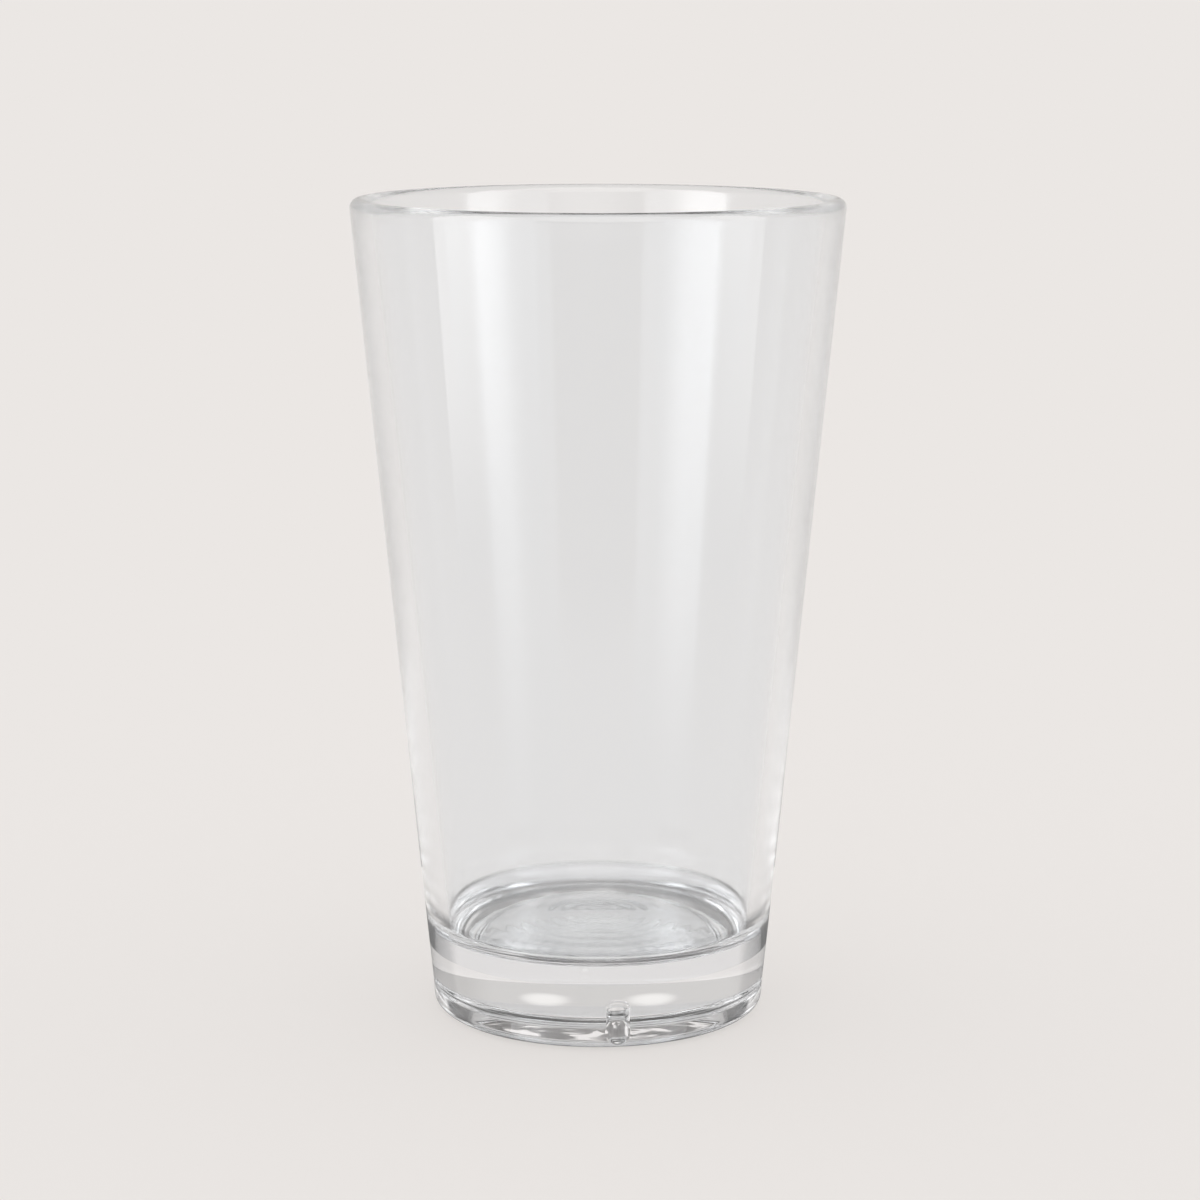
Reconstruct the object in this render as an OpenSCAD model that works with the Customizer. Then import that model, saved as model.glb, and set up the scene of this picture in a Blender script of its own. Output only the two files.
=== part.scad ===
// Clear cocktail tumbler in the mixing glass form: a tapered cup welded into a heavy base.
// Millimetres, +Z up, origin on the table under the middle of the foot, index notch on -Y.

/* [Overall] */
// overall height
height = 149; // [135:0.5:162]
// outside diameter across the rim
rim_d = 89; // [85:0.5:94]
// outside diameter of the cone where it would meet the table
base_d = 60.5; // [58:0.5:64]

/* [Cup] */
// wall thickness at the lip
lip_wall = 3.4; // [3:0.1:3.8]
// wall thickness just above the floor
low_wall = 3.8; // [3.4:0.1:4.2]
// height of the drinking floor at its edge
floor_z = 14.9; // [14.2:0.1:16]
// rise of the floor at its middle
floor_rise = 2.2; // [1:0.1:3]
// radius of the corner between the floor and the wall
floor_corner = 3.5; // [2.5:0.5:6]

/* [Base] */
// radius of the outer edge of the foot
foot_edge = 2.3; // [1.5:0.1:3]
// diameter of the hollow under the base where it would meet the table
hollow_d = 46.8; // [44:0.2:48]
// diameter of the hollow where its wall would meet its ceiling
hollow_top_d = 45.2; // [42:0.2:45.6]
// height of the hollow at its edge
hollow_z = 4.5; // [4.2:0.1:5]
// radius of the top corner of the hollow
hollow_corner = 2.4; // [1:0.1:2.8]
// radius of the inner edge of the foot
inner_edge = 1; // [0.6:0.1:1.2]
// rise of the ceiling of the hollow at its middle
ceiling_rise = 0.4; // [0.2:0.1:0.8]

/* [Index notch] */
// radius of the upright flute in the heel and of its ball end
notch_r = 2.1; // [1.8:0.1:2.6]
// depth of the flute at its ball end
notch_depth = 2; // [1.4:0.1:2.2]
// height of the centre of the ball end
notch_z = 7.5; // [6.5:0.1:8]
// lean of the flute in degrees, by which it runs out towards the foot
notch_lean = 9; // [6:1:12]

/* [Welded joint] */
// height of the visible joint line on the outside
seam_z = 17.4; // [17:0.1:18.5]
// height of the seat inside the socket
seat_z = 10.8; // [10.4:0.1:11.2]
// diameter of the spigot under the cup and of its socket
spigot_d = 59.4; // [59:0.1:60]
// width of the weld bead in the corner of the socket
bead = 1.2; // [0.8:0.1:1.6]

/* [Hidden] */
$fn = 128;
rim_r = rim_d / 2;
base_r = base_d / 2;
spigot_r = spigot_d / 2;
hollow_r = hollow_d / 2;
hollow_top_r = hollow_top_d / 2;

// outside of the cone at a height
function cone_r(z) = base_r + (rim_r - base_r) * z / height;
cone_a = atan((rim_r - base_r) / height);

// inside of the wall at a height: a straight line from the low wall to the lip
in_low = cone_r(floor_z) - low_wall / cos(cone_a);
in_top = rim_r - lip_wall / cos(cone_a);
function wall_r(z) = in_low + (in_top - in_low) * (z - floor_z) / (height - floor_z);
wall_a = atan((in_top - in_low) / (height - floor_z));

// round edges stand this far proud of a sloping face, so that they cross it cleanly
swell = 0.03;

// full round lip
lip_r = lip_wall / 2 + swell;
lip_z = height - lip_r;
lip_x = (cone_r(lip_z) + wall_r(lip_z)) / 2;

// centre of the floor corner
corner_z = floor_z + floor_corner;
corner_x = wall_r(corner_z) - floor_corner / cos(wall_a);

// sphere of the domed floor, which crosses the floor corner just outside its centre
dome_x = corner_x + 1;
dome_r = (dome_x * dome_x + floor_rise * floor_rise) / (2 * floor_rise);

// centre of the round outer edge of the foot
foot_x = cone_r(foot_edge) - (foot_edge - swell) / cos(cone_a);
foot_low = foot_edge * (1 - sin(cone_a));

// sloping wall of the hollow at a height
function hollow_x(z) = hollow_r - (hollow_r - hollow_top_r) * z / hollow_z;
hollow_a = atan((hollow_r - hollow_top_r) / hollow_z);

// centres of the top corner of the hollow and of the inner edge of the foot
under_z = hollow_z - hollow_corner;
under_x = hollow_x(under_z) - (hollow_corner - swell) / cos(hollow_a);
inner_x = hollow_x(inner_edge) + (inner_edge - swell) / cos(hollow_a);
inner_low = inner_edge * (1 - sin(hollow_a));

// sphere of the domed ceiling, which crosses the level of the corner a little inside it
ceiling_x = under_x * 0.95;
ceiling_r = (ceiling_x * ceiling_x + ceiling_rise * ceiling_rise) / (2 * ceiling_rise);

// the drinking space: cone, round floor corner and domed floor
module drink_space() {
    difference() {
        union() {
            polygon([
                [0, floor_z],
                [corner_x, floor_z],
                [corner_x + floor_corner * cos(wall_a), corner_z - floor_corner * sin(wall_a)],
                [wall_r(height + 1), height + 1],
                [0, height + 1]
            ]);
            translate([corner_x, corner_z])
                circle(floor_corner);
        }
        translate([0, floor_z + floor_rise - dome_r])
            circle(dome_r, $fn = 720);
    }
}

// the hollow under the base: sloping wall, round top corner, domed ceiling and inner edge of the foot
module hollow() {
    polygon([
        [0, -1],
        [hollow_x(-1), -1],
        [hollow_x(under_z + hollow_corner * sin(hollow_a)), under_z + hollow_corner * sin(hollow_a)],
        [under_x, under_z],
        [under_x, hollow_z],
        [0, hollow_z]
    ]);
    translate([under_x, under_z])
        circle(hollow_corner);
    intersection() {
        translate([0, hollow_z + ceiling_rise - ceiling_r])
            circle(ceiling_r, $fn = 720);
        translate([0, hollow_z - 1])
            square([under_x * 0.98, ceiling_rise + 2]);
    }
    difference() {
        polygon([
            [hollow_x(inner_low) - 0.2, inner_low],
            [hollow_x(inner_low), inner_low],
            [inner_x, inner_edge],
            [inner_x, -1],
            [hollow_x(inner_low) - 0.2, -1]
        ]);
        translate([inner_x, inner_edge])
            circle(inner_edge);
    }
}

// the solid of the base under its cone, with the round outer edge of the foot
module foot_block() {
    polygon([
        [0, 0],
        [foot_x, 0],
        [cone_r(foot_low), foot_low],
        [cone_r(seam_z), seam_z],
        [0, seam_z]
    ]);
    translate([foot_x, foot_edge])
        circle(foot_edge);
}

// the index notch: an upright flute with a ball end, which runs out towards the foot
module notch() {
    translate([0, -(cone_r(notch_z) + notch_r - notch_depth), notch_z])
        rotate([-notch_lean, 0, 0]) {
            translate([0, 0, -notch_z - 2])
                cylinder(r = notch_r, h = notch_z + 2);
            sphere(notch_r + swell);
        }
}

// tapered wall with its lip, the domed floor and the spigot that seats in the base
module cup_body() {
    color([0.92, 0.93, 0.94, 0.35])
        rotate_extrude() {
            difference() {
                polygon([
                    [0, seat_z],
                    [spigot_r - bead, seat_z],
                    [spigot_r, seat_z + bead],
                    [spigot_r, seam_z],
                    [cone_r(seam_z), seam_z],
                    [cone_r(lip_z), lip_z],
                    [0, lip_z]
                ]);
                drink_space();
            }
            translate([lip_x, lip_z])
                rotate(-90)
                    circle(lip_r);
        }
}

// thick disc with the socket for the cup, the hollow, the foot and its index notch
module base_foot() {
    color([0.9, 0.91, 0.92, 0.4])
        difference() {
            rotate_extrude()
                difference() {
                    foot_block();
                    hollow();
                    translate([0, seat_z])
                        square([spigot_r, seam_z]);
                }
            notch();
        }
}

// remelted plastic that fills the corner between the spigot and its socket
module weld_ring() {
    color([0.9, 0.91, 0.93, 0.5])
        rotate_extrude()
            polygon([
                [spigot_r - bead, seat_z],
                [spigot_r, seat_z],
                [spigot_r, seat_z + bead]
            ]);
}

cup_body();
base_foot();
weld_ring();
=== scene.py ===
import math
import bpy
import bmesh
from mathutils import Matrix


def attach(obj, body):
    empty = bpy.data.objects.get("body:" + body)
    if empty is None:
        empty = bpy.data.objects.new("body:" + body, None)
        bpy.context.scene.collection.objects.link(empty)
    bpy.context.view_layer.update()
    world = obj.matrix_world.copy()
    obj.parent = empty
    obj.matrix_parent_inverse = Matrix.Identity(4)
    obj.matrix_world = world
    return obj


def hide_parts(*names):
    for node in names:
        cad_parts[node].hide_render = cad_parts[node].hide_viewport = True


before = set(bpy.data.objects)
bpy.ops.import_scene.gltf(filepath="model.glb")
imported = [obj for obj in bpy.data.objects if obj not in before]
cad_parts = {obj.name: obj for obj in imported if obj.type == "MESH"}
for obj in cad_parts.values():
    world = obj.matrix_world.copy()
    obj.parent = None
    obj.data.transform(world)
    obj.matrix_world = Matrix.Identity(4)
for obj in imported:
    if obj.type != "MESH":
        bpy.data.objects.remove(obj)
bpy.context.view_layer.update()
scene = bpy.context.scene
mm = 0.001
print("frame loaded:", sorted(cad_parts))


# a shader socket that takes part in sums
class Wire:
    def __init__(self, finish, socket):
        self.finish = finish
        self.socket = socket

    def sum(self, operation, *values):
        return self.finish.add("ShaderNodeMath", {"operation": operation}, dict(enumerate(values)))

    def __add__(self, other):
        return self.sum("ADD", self, other)

    def __radd__(self, other):
        return self.sum("ADD", other, self)

    def __sub__(self, other):
        return self.sum("SUBTRACT", self, other)

    def __rsub__(self, other):
        return self.sum("SUBTRACT", other, self)

    def __mul__(self, other):
        return self.sum("MULTIPLY", self, other)

    def __rmul__(self, other):
        return self.sum("MULTIPLY", other, self)

    def __truediv__(self, other):
        return self.sum("DIVIDE", self, other)

    def __neg__(self):
        return self.sum("MULTIPLY", self, -1.0)

    def __abs__(self):
        return self.sum("ABSOLUTE", self)

    def over(self, low, high):  # 0 below low, 1 above high, soft between
        settings = {"interpolation_type": "SMOOTHSTEP"}
        return self.finish.add("ShaderNodeMapRange", settings, {"Value": self, "From Min": low, "From Max": high})


# a node tree that adds any node, with its settings and the values or links of its sockets
class Finish:
    def __init__(self, tree):
        self.tree = tree
        tree.nodes.clear()

    def add(self, kind, settings=None, sockets=None, out=0):
        node = self.tree.nodes.new(kind)
        for key, value in (settings or {}).items():
            setattr(node, key, value)
        for key, value in (sockets or {}).items():
            if isinstance(value, Wire):
                self.tree.links.new(value.socket, node.inputs[key])
            else:
                node.inputs[key].default_value = value
        return Wire(self, node.outputs[out]) if node.outputs else None

    def place(self):  # Object coordinates
        return self.add("ShaderNodeTexCoord", out=3)

    def split(self, vector):
        outputs = self.add("ShaderNodeSeparateXYZ", None, {0: vector}).socket.node.outputs
        return [Wire(self, socket) for socket in outputs]

    def rays(self):  # 1 for rays from the camera, from a reflection and through the plastic
        outputs = self.add("ShaderNodeLightPath").socket.node.outputs
        return [Wire(self, outputs[name]) for name in ("Is Camera Ray", "Is Glossy Ray", "Is Transmission Ray")]

    def glow(self, level):
        return self.add("ShaderNodeEmission", None, {"Strength": level})

    def blend(self, share, first, second):
        return self.add("ShaderNodeMixShader", None, {0: share, 1: first, 2: second})

    def surface(self, shader):
        self.add("ShaderNodeOutputMaterial", None, {"Surface": shader})


def newMaterial(name):
    material = bpy.data.materials.new(name)
    material.use_nodes = True
    return material, Finish(material.node_tree)


# the plastic: clear and polished, with fine wear, a faint haze up the wall and a little more on the lip
plasticLook = {
    "tint": (0.951, 0.965, 0.978, 1.0),
    "index": 1.585,
    "haze": 0.06,
    "hazeSpan": (0.018, 0.026),
    "lipHaze": 0.04,
    "lipSpan": (0.144, 0.147),
    "wearRough": 0.015,
    "wearScale": 900.0,
    "wearDetail": 4.0,
    "wearGrain": 0.65,
    "wearSpan": (0.55, 0.8),
}
baseLook = {**plasticLook, "tint": (0.95, 0.958, 0.972, 1.0)}
bondedLook = {"tint": (0.9, 0.91, 0.93, 1.0), "index": 1.585, "rough": 0.1}


def clearPlastic(name, look):
    material, tree = newMaterial(name)
    place = tree.place()
    wear = tree.add("ShaderNodeTexNoise", {"noise_dimensions": "3D"}, {
        "Vector": place, "Scale": look["wearScale"], "Detail": look["wearDetail"], "Roughness": look["wearGrain"]})
    tall = tree.split(place)[2]
    hazy = tall.over(*look["hazeSpan"]) * look["haze"] + tall.over(*look["lipSpan"]) * look["lipHaze"]
    rough = wear.over(*look["wearSpan"]) * look["wearRough"] + hazy
    tree.surface(tree.add("ShaderNodeBsdfPrincipled", None, {
        "Base Color": look["tint"], "Roughness": rough, "IOR": look["index"], "Transmission Weight": 1.0}))
    return material


# faces that are bonded to the same plastic next door, so light goes straight on
def bondedFace(name, look):
    material, tree = newMaterial(name)
    tree.surface(tree.add("ShaderNodeBsdfPrincipled", None, {
        "Base Color": look["tint"], "Roughness": look["rough"], "IOR": look["index"], "Alpha": 0.0}))
    return material


cupPlastic = clearPlastic("clearCupPlastic", plasticLook)
basePlastic = clearPlastic("clearBasePlastic", baseLook)
bonded = bondedFace("bondedFace", bondedLook)
print("plastics mixed")


# lathe: a corner is its radius and height in millimetres, then the radius and steps of its rounding if it has one
lathe = {"steps": 480, "notchSteps": 640, "sectors": 16, "merge": 0.000002, "sharpAngle": 32}


def profile(corners, closed=False):
    bm = bmesh.new()
    line = [bm.verts.new((radius * mm, 0.0, height * mm)) for radius, height, *rounding in corners]
    for here, there in zip(line, line[1:] + (line[:1] if closed else [])):
        bm.edges.new((here, there))
    for vert, (radius, height, *rounding) in zip(line, corners):
        if rounding:
            size, segments = rounding
            bmesh.ops.bevel(bm, geom=[vert], offset=cornerOffset(vert, size * mm), offset_type="OFFSET",
                            segments=segments, profile=0.5, affect="VERTICES", clamp_overlap=True, material=-1)
    return bm


# how far from a corner its rounding starts, for a true radius
def cornerOffset(vert, radius):
    first, second = [(edge.other_vert(vert).co - vert.co).normalized() for edge in vert.link_edges]
    return radius / math.tan(first.angle(second) / 2)


# one sector is spun from the profile and then repeated round the axis
def spun(bm, steps):
    around = {"cent": (0, 0, 0), "axis": (0, 0, 1), "dvec": (0, 0, 0)}
    sectors = lathe["sectors"]
    sector = 2 * math.pi / sectors
    bmesh.ops.spin(bm, geom=bm.verts[:] + bm.edges[:], angle=sector, steps=steps // sectors, use_merge=False,
                   use_duplicate=False, **around)
    bmesh.ops.spin(bm, geom=bm.verts[:] + bm.edges[:] + bm.faces[:], angle=2 * math.pi - sector,
                   steps=sectors - 1, use_merge=False, use_duplicate=True, **around)
    bmesh.ops.remove_doubles(bm, verts=bm.verts[:], dist=lathe["merge"])
    bmesh.ops.recalc_face_normals(bm, faces=bm.faces[:])
    return bm


def toObject(name, bm):
    mesh = bpy.data.meshes.new(name)
    bm.to_mesh(mesh)
    bm.free()
    piece = bpy.data.objects.new(name, mesh)
    scene.collection.objects.link(piece)
    return piece


def smoothPiece(piece):
    piece.data.polygons.foreach_set("use_smooth", [True] * len(piece.data.polygons))
    piece.data.set_sharp_from_angle(angle=math.radians(lathe["sharpAngle"]))


# the clear plastic all over, and the bonded material on the faces that lie inside the joint
def dress(piece, plastic, inJoint):
    piece.data.materials.append(plastic)
    piece.data.materials.append(bonded)
    for polygon in piece.data.polygons:
        centre = polygon.center / mm
        if inJoint(math.hypot(centre.x, centre.y), centre.z):
            polygon.material_index = 1
    smoothPiece(piece)


overall = {"height": 149.0, "rimRadius": 44.5, "baseRadius": 30.25}
joint = {"seam": 17.4, "seat": 10.8, "spigot": 29.7, "bead": 1.2, "gap": 0.04, "reach": 0.01}
beadTop = joint["seat"] + joint["bead"]


def coneRadius(z):
    return overall["baseRadius"] + (overall["rimRadius"] - overall["baseRadius"]) * z / overall["height"]


# cup: the dome takes up cornerShare of the floor corner, and its rounding domeShare of the flat at its middle
cup = {
    "lipWall": 3.4,
    "lowWall": 3.8,
    "floor": 14.9,
    "floorRise": 2.2,
    "domeShare": 0.98,
    "domeSteps": 72,
    "floorCorner": 3.5,
    "cornerShare": 0.9,
    "cornerSteps": 18,
    "rippleHeight": 0.012,
    "rippleWidth": 2.8,
    "lipRound": 1.66,
    "lipSteps": 12,
}
coneCos = math.cos(math.atan((overall["rimRadius"] - overall["baseRadius"]) / overall["height"]))
innerLow = coneRadius(cup["floor"]) - cup["lowWall"] / coneCos
innerTop = overall["rimRadius"] - cup["lipWall"] / coneCos
innerSlope = (innerTop - innerLow) / (overall["height"] - cup["floor"])
domeEdge = innerLow - cup["floorCorner"] * cup["cornerShare"]
domeSlope = 2 * cup["floorRise"] / domeEdge
domeRound = cup["domeShare"] * domeEdge / 2 / math.tan(math.atan(domeSlope) / 2)
floorTop = cup["floor"] + cup["floorRise"]
slopeTop = floorTop + domeSlope * domeEdge / 2  # the sloping edge of the dome, carried on to the axis
cornerRadius = (innerLow + innerSlope * (slopeTop - cup["floor"])) / (1 + innerSlope * domeSlope)
cornerHeight = slopeTop - domeSlope * cornerRadius
bm = profile([
    (0, floorTop),
    (domeEdge / 2, floorTop, domeRound, cup["domeSteps"]),
    (cornerRadius, cornerHeight, cup["floorCorner"], cup["cornerSteps"]),
    (innerTop, overall["height"], cup["lipRound"], cup["lipSteps"]),
    (overall["rimRadius"], overall["height"], cup["lipRound"], cup["lipSteps"]),
    (coneRadius(joint["seam"]), joint["seam"]),
    (joint["spigot"] - joint["gap"], joint["seam"]),
    (joint["spigot"] - joint["gap"], beadTop),
    (joint["spigot"] - joint["bead"], joint["seat"]),
    (0, joint["seat"]),
])
for vert in bm.verts:  # faint rings on the drinking floor
    radius = vert.co.x / mm
    if 0 < radius < domeEdge:
        fade = math.sin(math.pi * radius / domeEdge)
        vert.co.z += cup["rippleHeight"] * fade * math.cos(2 * math.pi * radius / cup["rippleWidth"]) * mm
cupBody = toObject("cupBody", spun(bm, lathe["steps"]))
dress(cupBody, cupPlastic, lambda radius, z: z < beadTop)
print("cup turned:", len(cupBody.data.polygons), "faces")


# base
base = {
    "footEdge": 2.3,
    "footSteps": 14,
    "hollow": 23.4,
    "hollowTop": 22.6,
    "hollowHeight": 4.5,
    "hollowCorner": 2.4,
    "hollowSteps": 8,
    "innerEdge": 1.0,
    "innerSteps": 8,
    "ceilingRise": 0.4,
    "ceilingShare": 0.9,
    "ceilingSteps": 24,
}
# height and depth of the cut at both ends, in millimetres; cuts are the extra rows of faces down the heel
notch = {"radius": 2.1, "top": (7.5, 2.2), "low": (0.8, 0.4), "balls": 48, "soft": 0.08, "softEnd": 20, "cuts": 64}


# nothing outside the notch, the full depth inside it, and a soft mouth between
def softCut(depth):
    ratio = depth / notch["soft"]
    return notch["soft"] * (ratio if ratio > notch["softEnd"] else math.log1p(math.exp(ratio)))


# the index notch is cut into the heel by a ball that runs out towards the foot
def cutNotch(bm):
    radius, (topZ, topDepth), (lowZ, lowDepth) = notch["radius"], notch["top"], notch["low"]
    footMiddle = base["hollow"] + 2 * base["innerEdge"]
    path = []
    for step in range(notch["balls"] + 1):
        z = topZ + (lowZ - topZ) * step / notch["balls"]
        depth = topDepth + (lowDepth - topDepth) * step / notch["balls"]
        path.append((z, -(coneRadius(z) + radius - depth)))
    for vert in bm.verts:
        x, y, z = vert.co / mm
        if abs(x) > 2 * radius or y > 0 or math.hypot(x, y) < footMiddle:
            continue
        room = [(radius ** 2 - x ** 2 - (z - ballZ) ** 2, ballY) for ballZ, ballY in path]
        cuts = [ballY + math.sqrt(left) - y for left, ballY in room if left > 0]
        if cuts:
            vert.co.y += softCut(max(cuts)) * mm


ceiling = base["hollowHeight"] + base["ceilingRise"]
ceilingSlope = 2 * base["ceilingRise"] / base["hollow"]
ceilingRound = base["ceilingShare"] * base["hollow"] / 2 / math.tan(math.atan(ceilingSlope) / 2)
rimOfSocket = joint["seam"] - joint["gap"]
bm = profile([
    (0, joint["seat"]),
    (joint["spigot"], joint["seat"]),
    (joint["spigot"], beadTop),
    (joint["spigot"], rimOfSocket),
    (coneRadius(rimOfSocket), rimOfSocket),
    (overall["baseRadius"], 0, base["footEdge"], base["footSteps"]),
    (base["hollow"], 0, base["innerEdge"], base["innerSteps"]),
    (base["hollowTop"], base["hollowHeight"], base["hollowCorner"], base["hollowSteps"]),
    (base["hollow"] / 2, ceiling, ceilingRound, base["ceilingSteps"]),
    (0, ceiling),
])
outerEdges = [edge for edge in bm.edges if min(vert.co.x for vert in edge.verts) > joint["spigot"] * mm]
heel = max(outerEdges, key=lambda edge: edge.calc_length())
bmesh.ops.subdivide_edges(bm, edges=[heel], cuts=notch["cuts"])
spun(bm, lathe["notchSteps"])
cutNotch(bm)
bmesh.ops.recalc_face_normals(bm, faces=bm.faces[:])
baseFoot = toObject("baseFoot", bm)
dress(baseFoot, basePlastic, lambda radius, z: (
    joint["seat"] - joint["reach"] < z < beadTop and radius < joint["spigot"] + joint["reach"]))
print("base turned:", len(baseFoot.data.polygons), "faces")


# weld bead in the corner of the socket
weldRing = toObject("weldRing", spun(profile([
    (joint["spigot"] - joint["bead"], joint["seat"]),
    (joint["spigot"], joint["seat"]),
    (joint["spigot"], beadTop),
], closed=True), lathe["steps"]))
weldRing.data.materials.append(bonded)
smoothPiece(weldRing)
print("weld bead laid")

pieces = [(cupBody, "cup_body", "clear_cup"), (baseFoot, "base_foot", "clear_base"), (weldRing, "weld_ring", "weld")]
for piece, node, slot in pieces:
    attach(piece, "root")
    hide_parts(node)


# camera: metres, turn in degrees, pitch in radians, focal length and shift in pixels of the frame
camera = {"turn": -6.7, "distance": 0.578, "height": 0.184, "pitch": 0.185, "focal": 3217, "shift": 2, "frame": 1200,
          "sensor": 36, "clip": (0.01, 200)}
turn = math.radians(camera["turn"])
eye = bpy.data.objects.new("camera", bpy.data.cameras.new("camera"))
eye.data.sensor_width = camera["sensor"]
eye.data.lens = camera["sensor"] * camera["focal"] / camera["frame"]
eye.data.shift_x = camera["shift"] / camera["frame"]
eye.data.clip_start, eye.data.clip_end = camera["clip"]
eye.location = (camera["distance"] * math.sin(turn), -camera["distance"] * math.cos(turn), camera["height"])
eye.rotation_euler = (math.pi / 2 - camera["pitch"], 0, turn)
scene.collection.objects.link(eye)
scene.camera = eye
print("camera placed")


# table: own is the share of its plain colour, the rest is lit and holds the shadow; beneath the foot, painted arcs of
# caustic light and a painted dark shadow line where the foot meets the table show through the plastic only
table = {
    "radius": 300.0,
    "segments": 96,
    "gap": 0.3,
    "colour": (0.831, 0.799, 0.776, 1.0),
    "rough": 0.9,
    "own": 0.72,
    "ownThrough": 0.6,
    "ownSpan": (0.03, 0.045),
    # painted caustic light beneath the foot: these keys shape glowing arcs on the table
    "glintSeed": 3.0,
    "glintDetail": 1.0,
    "glintAround": 1.5,
    "glintAcross": 220.0,
    "glintSpan": (0.5, 0.66),
    "glintShare": 0.8,
    # painted shadow: a dark glowing ring on the table just outside the foot's edge, seen only through and off the
    # plastic
    "shadowLineStart": (0.027, 0.029),
    "shadowLineEnd": (0.031, 0.035),
    "shadowLineShare": 0.7,
    "shadowLineLevel": 0.08,
}


def paleFloor():
    bm = bmesh.new()
    bmesh.ops.create_circle(bm, cap_ends=True, segments=table["segments"], radius=table["radius"])
    bmesh.ops.translate(bm, verts=bm.verts[:], vec=(0, 0, -table["gap"] * mm))
    floor = toObject("floor", bm)
    material, tree = newMaterial("paleFloor")
    lit = tree.add("ShaderNodeBsdfPrincipled", None, {
        "Base Color": table["colour"], "Roughness": table["rough"], "Specular IOR Level": 0.0})
    own = tree.add("ShaderNodeEmission", None, {"Color": table["colour"], "Strength": 1.0})
    seen, mirrored, through = tree.rays()
    place = tree.place()
    radius = tree.add("ShaderNodeVectorMath", {"operation": "LENGTH"}, {0: place}, out=1)
    x, y = tree.split(place)[:2]
    # painted caustic light: bright arcs glowing on the table beneath the foot, for rays through or off the plastic
    # only
    arc = tree.add("ShaderNodeCombineXYZ", None, {
        0: x / radius * table["glintAround"], 1: y / radius * table["glintAround"], 2: radius * table["glintAcross"]})
    paintedGlint = tree.add("ShaderNodeTexNoise", {"noise_dimensions": "4D"}, {
        "Vector": arc, "W": table["glintSeed"], "Scale": 1.0, "Detail": table["glintDetail"]})
    clear = radius.over(*table["ownSpan"])
    paintedArcShare = (1 - clear) * paintedGlint.over(*table["glintSpan"]) * table["glintShare"]
    share = seen * table["own"] + (mirrored + through) * (clear * table["ownThrough"] + paintedArcShare)
    # painted shadow: a dark line where the foot meets the table, for rays through or off the plastic only
    paintedShadowLine = radius.over(*table["shadowLineStart"]) * (1 - radius.over(*table["shadowLineEnd"])) * table["shadowLineShare"]
    shader = tree.blend(share, lit, own)
    tree.surface(tree.blend((mirrored + through) * paintedShadowLine, shader, tree.glow(table["shadowLineLevel"])))
    floor.data.materials.append(material)


# room: what the plastic mirrors and shows, with a level and a span of directions for each zone
room = {
    "plainLevel": 1.0,
    "plain": (1.0, 1.0, 1.0, 1.0),
    "warm": (1.0, 0.972, 0.944, 1.0),
    "frontLevel": 0.35,
    "backLevel": 0.66,
    "backSpan": (-0.4, 0.3),
    "sideLevel": 0.54,
    "sideSpan": (0.55, 0.8),
    "beltLevel": 0.1,
    "beltSpan": (0.43, 0.5),
    "topLevel": 1.8,
    "topTilt": 45,
    "topSpan": (0.75, 0.9),
}
# two soft lamps behind the tumbler, either side of the way the camera looks
lamp = {"side": 0.23, "wide": 0.1, "up": 0.315, "tall": 0.037, "edge": (0.1, 1.8), "behind": (0.0, 0.3), "level": 0.95}


def studioWorld():
    world = bpy.data.worlds.new("studio")
    world.use_nodes = True
    scene.world = world
    tree = Finish(world.node_tree)
    side, depth, up = tree.split(tree.add("ShaderNodeTexCoord"))

    def sky(level, colour=room["warm"]):
        return tree.add("ShaderNodeBackground", None, {"Color": colour, "Strength": level})

    light = tree.blend(depth.over(*room["backSpan"]), sky(room["frontLevel"]), sky(room["backLevel"]))
    light = tree.blend(abs(side).over(*room["sideSpan"]), light, sky(room["sideLevel"]))
    light = tree.blend(up.over(*room["beltSpan"]), light, sky(room["beltLevel"]))
    across = (abs(side * math.cos(turn) + depth * math.sin(turn)) - lamp["side"]) / lamp["wide"]
    rise = (up - lamp["up"]) / lamp["tall"]
    spot = (1 - (across * across + rise * rise).over(*lamp["edge"])) * depth.over(*lamp["behind"])
    light = tree.blend(spot, light, sky(lamp["level"]))
    tilt = math.radians(room["topTilt"])
    above = (up * math.cos(tilt) - depth * math.sin(tilt)).over(*room["topSpan"])
    light = tree.blend(above, light, sky(room["topLevel"]))
    seen, mirrored, through = tree.rays()
    light = tree.blend(mirrored + through, sky(room["plainLevel"], room["plain"]), light)
    backdrop = sky(1.0, table["colour"])
    tree.add("ShaderNodeOutputWorld", None, {"Surface": tree.blend(seen, light, backdrop)})


screenSteps = 48


# an upright curved screen on the table that only the plastic shows
def curvedScreen(name, near, far, distance, height):
    bm = bmesh.new()
    foot = (distance * math.sin(near), -distance * math.cos(near))
    line = [bm.verts.new((*foot, z)) for z in (0.0, height)]
    edge = bm.edges.new(line)
    bmesh.ops.spin(bm, geom=line + [edge], cent=(0, 0, 0), axis=(0, 0, 1), dvec=(0, 0, 0), angle=far - near,
                   steps=screenSteps, use_merge=False, use_duplicate=False)
    screen = toObject(name, bm)
    material, tree = newMaterial(name)
    screen.data.materials.append(material)
    screen.visible_camera = screen.visible_diffuse = screen.visible_shadow = False
    return tree, screen


# light cards, angles in degrees from the front: brighter towards the far edge and the top, fading into the table
cards = [
    {"name": "cardRight", "near": 21, "far": 70, "rise": 36, "full": 56, "bright": 2.4},
    {"name": "cardLeft", "near": -33, "far": -82, "rise": -44, "full": -62, "bright": 3.1},
]
card = {"distance": 0.3, "height": 0.5, "dim": 0.45, "nearShare": 0.35, "lowShare": 0.65, "lowSpan": (0.02, 0.17),
        "foot": 0.8, "footSpan": (0.005, 0.07)}


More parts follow.
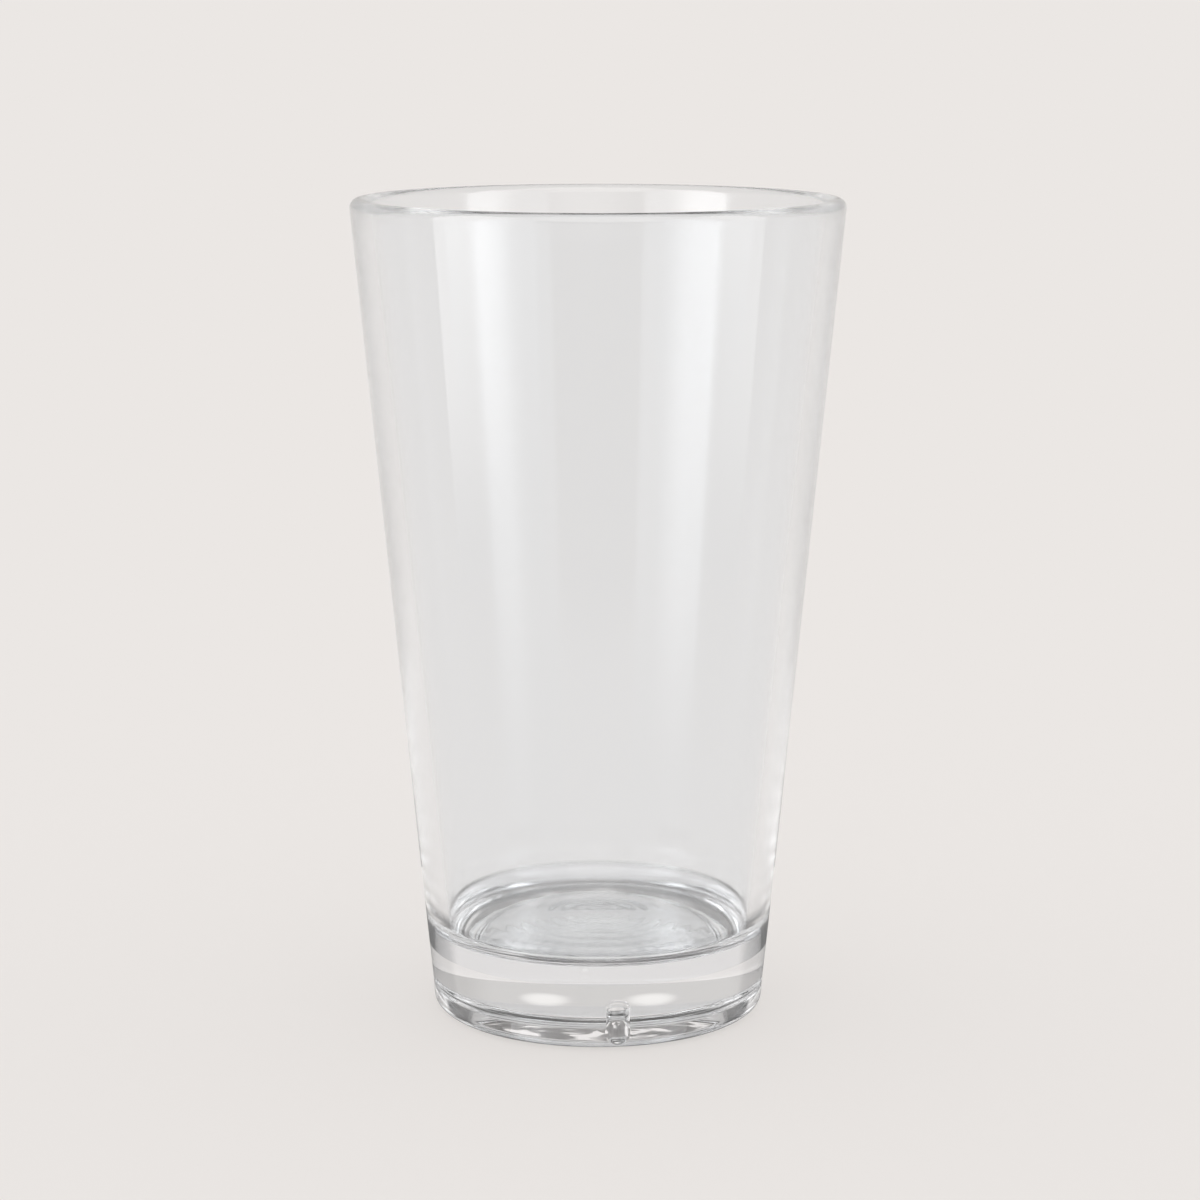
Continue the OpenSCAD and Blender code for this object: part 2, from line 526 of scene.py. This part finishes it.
def lightCard(place):
    near, far, rise, full = [math.radians(place[key]) for key in ("near", "far", "rise", "full")]
    tree = curvedScreen(place["name"], near, far, card["distance"], card["height"])[0]
    x, y, z = tree.split(tree.place())
    angle = x.sum("ARCTAN2", x * math.copysign(1, far), -y)
    across = angle.over(abs(rise), abs(full)) * (1 - card["nearShare"]) + card["nearShare"]
    upright = z.over(*card["lowSpan"]) * (1 - card["lowShare"]) + card["lowShare"]
    shader = tree.blend(across * upright, tree.glow(card["dim"]), tree.glow(place["bright"]))
    tree.surface(tree.blend(z.over(*card["footSpan"]), tree.glow(card["foot"]), shader))


# low dark flags that draw the edges, angles in degrees from straight behind: the first pair stands close beside
# the base, the second is behind and shows in reflections only
flags = [
    {"name": "flagSide", "near": 74, "far": 118, "softNear": 6, "softFar": 6, "distance": 0.034, "height": 0.018,
     "fade": (0.85, 1.0), "share": 0.95, "level": 0.15, "through": True},
    {"name": "flagEdge", "near": 2, "far": 45, "softNear": 1, "softFar": 21, "distance": 0.1, "height": 0.05,
     "fade": (0.1, 0.7), "share": 0.75, "level": 0.15, "through": False},
]


def darkFlag(place, side):
    near, far, softNear, softFar = [math.radians(place[key]) for key in ("near", "far", "softNear", "softFar")]
    behind = math.pi + turn
    name = place["name"] + ("Right" if side < 0 else "Left")
    tree, screen = curvedScreen(name, behind + side * near, behind + side * far, place["distance"], place["height"])
    screen.visible_transmission = place["through"]
    x, y, z = tree.split(tree.place())
    backX, backY = math.sin(behind), -math.cos(behind)
    angle = x.sum("ARCTAN2", (y * backX - x * backY) * side, x * backX + y * backY)
    share = angle.over(near, near + softNear) * (1 - angle.over(far - softFar, far))
    share = share * (1 - (z / place["height"]).over(*place["fade"])) * place["share"]
    clear = tree.add("ShaderNodeBsdfTransparent")
    tree.surface(tree.blend(share, clear, tree.glow(place["level"])))


paleFloor()
studioWorld()
for place in cards:
    lightCard(place)
for place in flags:
    darkFlag(place, -1)
    darkFlag(place, 1)

bounces = 256  # light runs far round the wall
for kind in ("max_bounces", "transmission_bounces", "glossy_bounces", "transparent_max_bounces"):
    setattr(scene.cycles, kind, bounces)
scene.view_settings.view_transform = "Standard"
print("studio lit")
